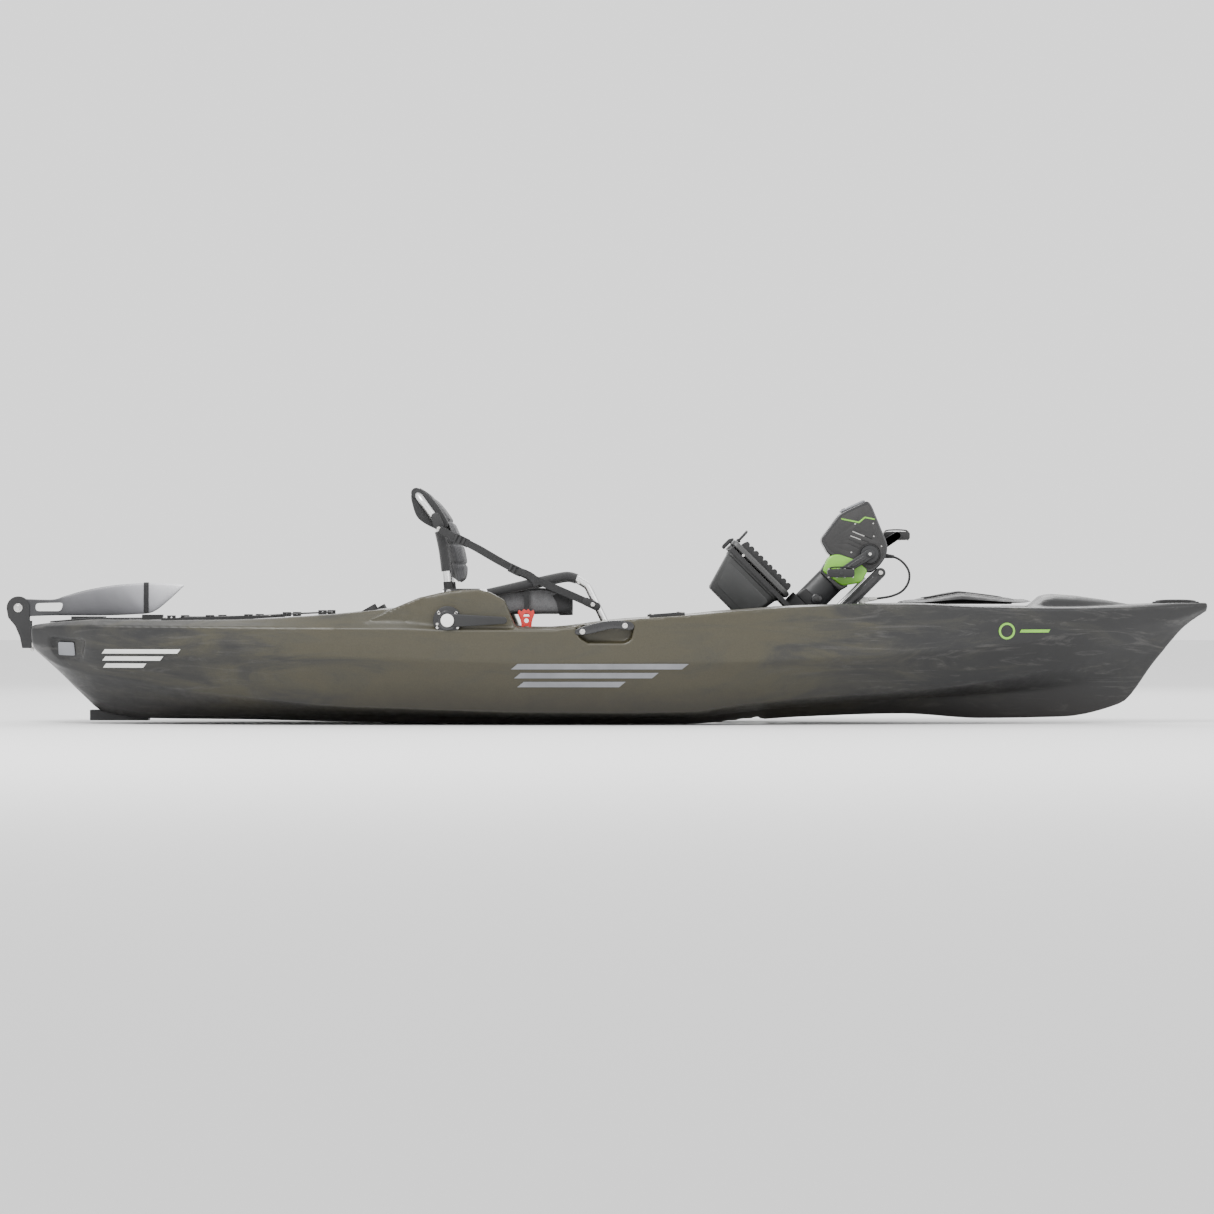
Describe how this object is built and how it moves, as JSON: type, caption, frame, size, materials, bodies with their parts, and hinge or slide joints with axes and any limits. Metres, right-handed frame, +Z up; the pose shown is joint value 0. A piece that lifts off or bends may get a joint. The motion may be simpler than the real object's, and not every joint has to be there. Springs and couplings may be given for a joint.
{
  "type": "sit-on-top pedal drive fishing kayak",
  "caption": "Sit-on-top fishing kayak with a fold-up pedal drive parked at 45 degrees, framed seat, console box, deck hatch and flip-up rudder.",
  "frame": {"origin": "centre of the bounding box, on the plane of the keel's flat", "axes": "+X towards the bow, +Y to port, +Z up"},
  "size_m": [4.116, 0.9486, 0.7975],
  "materials": {
    "hull_plastic": "rotomoulded, slightly pebbled",
    "black_plastic": "moulded",
    "steel": "stainless",
    "aluminium_tube": "satin anodised",
    "anodised_black": "satin",
    "soft_black": "soft",
    "mesh_fabric": "heather mesh",
    "seat_fabric": "padded",
    "webbing": "woven",
    "red_plastic": "moulded",
    "blade_plastic": "moulded, grey",
    "housing_grey": "moulded",
    "green_plastic": "moulded",
    "white_plastic": "moulded",
    "display_glass": "screen"
  },
  "bodies": {
    "hull": {"hull_shell": "hull_plastic", "deck_screws": "steel", "keel_skid_plate": "black_plastic", "gunwale_rails": "black_plastic", "steering_bases": "black_plastic", "side_handles": "soft_black", "rod_holders": "black_plastic", "deck_pads": "soft_black", "bow_handle": "webbing", "stern_rest": "black_plastic", "bungee_pad_eyes": "black_plastic", "bungee_cord": "webbing", "front_hatch_seal": "soft_black", "stern_bracket": "steel", "rudder_hinge_pin": "steel", "rudder_lines": "webbing", "seat_tracks": "aluminium_tube", "dock_brackets": "anodised_black", "dock_hinge_pin": "steel", "power_cable": "soft_black", "power_socket": "white_plastic"},
    "front_hatch": {"front_hatch_lid": "black_plastic", "hatch_straps": "webbing"},
    "rudder_head": {"rudder_head": "black_plastic", "rudder_pivot_bolt": "steel"},
    "rudder_blade": {"rudder_blade": "blade_plastic"},
    "steering_lever_right": {"steering_lever_right": "black_plastic", "steering_cap_right": "white_plastic"},
    "steering_lever_left": {"steering_lever_left": "black_plastic", "steering_cap_left": "white_plastic"},
    "seat_base": {"seat_base_frame": "aluminium_tube", "seat_sling": "mesh_fabric", "seat_cushion": "seat_fabric", "seat_pivot_bolts": "steel", "seat_straps": "webbing"},
    "track_knobs": {"track_lock_knobs": "black_plastic"},
    "seat_back": {"seat_back_frame": "aluminium_tube", "seat_back_cushion": "seat_fabric"},
    "release_tab": {"release_tab": "red_plastic"},
    "drive": {"dock_tray": "black_plastic", "drive_cover_right": "housing_grey", "drive_cover_left": "housing_grey", "display_panel": "display_glass", "drive_motor": "steel", "drive_collar": "green_plastic", "drive_leg": "anodised_black", "console_tub": "black_plastic", "battery": "black_plastic", "cable_gland": "black_plastic"},
    "drive_shaft": {"drive_shaft": "steel"},
    "crank": {"crank_set": "anodised_black", "crank_gear": "steel"},
    "pedal_right": {"pedal_right": "black_plastic"},
    "pedal_left": {"pedal_left": "black_plastic"},
    "propeller": {"propeller": "black_plastic"},
    "lift_handle": {"lift_handle": "anodised_black"},
    "console_lid": {"console_lid": "black_plastic", "lid_pad": "soft_black", "console_bail": "webbing"},
    "console_latch": {"console_latch": "black_plastic"}
  },
  "joints": [
    {"name": "rudder_steer", "type": "hinge", "parent": "hull", "child": "rudder_head", "pos_m": [-1.971, 0, 0.293], "axis": [0, 0, 1], "range_deg": [-35, 35]},
    {"name": "rudder_flip", "type": "hinge", "parent": "rudder_head", "child": "rudder_blade", "pos_m": [-2.0185, 0, 0.395], "axis": [0, -1, 0], "range_deg": [0, 255]},
    {"name": "steer_right", "type": "hinge", "parent": "hull", "child": "steering_lever_right", "pos_m": [-0.532, -0.463, 0.353], "axis": [0, 1, 0], "range_deg": [-25, 25]},
    {"name": "steer_left", "type": "hinge", "parent": "hull", "child": "steering_lever_left", "pos_m": [-0.532, 0.463, 0.353], "axis": [0, 1, 0], "range_deg": [-25, 25]},
    {"name": "hatch_open", "type": "hinge", "parent": "hull", "child": "front_hatch", "pos_m": [1.44, 0, 0.4125], "axis": [0, 1, 0], "range_deg": [0, 80]},
    {"name": "seat_slide", "type": "slide", "parent": "hull", "child": "seat_base", "axis": [1, 0, 0], "range_m": [-0.06, 0.06]},
    {"name": "knob_turn", "type": "hinge", "parent": "seat_base", "child": "track_knobs", "pos_m": [-0.06, 0, 0.12], "axis": [0, 1, 0], "range_deg": [-90, 90]},
    {"name": "seat_recline", "type": "hinge", "parent": "seat_base", "child": "seat_back", "pos_m": [-0.535, 0, 0.449], "axis": [0, 1, 0], "range_deg": [-6, 60], "deforming": ["seat_straps"]},
    {"name": "tab_swing", "type": "hinge", "parent": "seat_base", "child": "release_tab", "pos_m": [-0.272, -0.215, 0.462], "axis": [0, 1, 0], "range_deg": [-20, 0]},
    {"name": "drive_dock", "type": "hinge", "parent": "hull", "child": "drive", "pos_m": [0.792, 0, 0.285], "axis": [0, -1, 0], "range_deg": [0, 45], "deforming": ["power_cable"]},
    {"name": "crank_turn", "type": "hinge", "parent": "drive", "child": "crank", "pos_m": [0.89736, 0, 0.57845], "axis": [0, 1, 0], "continuous": true},
    {"name": "shaft_turn", "type": "hinge", "parent": "drive", "child": "drive_shaft", "pos_m": [0.61664, 0, 0.34015], "axis": [0.7071, 0, 0.7071], "continuous": true},
    {"name": "propeller_turn", "type": "hinge", "parent": "drive", "child": "propeller", "pos_m": [0.30834, 0, 0.15772], "axis": [0.7071, 0, -0.7071], "continuous": true},
    {"name": "pedal_right_turn", "type": "hinge", "parent": "crank", "child": "pedal_right", "pos_m": [0.79446, -0.139, 0.5129], "axis": [0, 1, 0], "continuous": true},
    {"name": "pedal_left_turn", "type": "hinge", "parent": "crank", "child": "pedal_left", "pos_m": [1.00025, 0.139, 0.644], "axis": [0, 1, 0], "continuous": true},
    {"name": "handle_lift", "type": "hinge", "parent": "drive", "child": "lift_handle", "pos_m": [0.73826, 0, 0.31753], "axis": [0, 1, 0], "range_deg": [0, 15]},
    {"name": "lid_open", "type": "hinge", "parent": "drive", "child": "console_lid", "pos_m": [0.62442, 0, 0.44268], "axis": [0, 1, 0], "range_deg": [0, 50]},
    {"name": "latch_open", "type": "hinge", "parent": "console_lid", "child": "console_latch", "pos_m": [0.42855, 0, 0.6329], "axis": [0, 1, 0], "range_deg": [0, 70]}
  ],
  "couplings": [
    {"joint": "steer_right", "follows": "rudder_steer", "ratio": 0.6},
    {"joint": "steer_left", "follows": "rudder_steer", "ratio": -0.6},
    {"joint": "shaft_turn", "follows": "crank_turn", "ratio": 4},
    {"joint": "propeller_turn", "follows": "crank_turn", "ratio": 8}
  ]
}
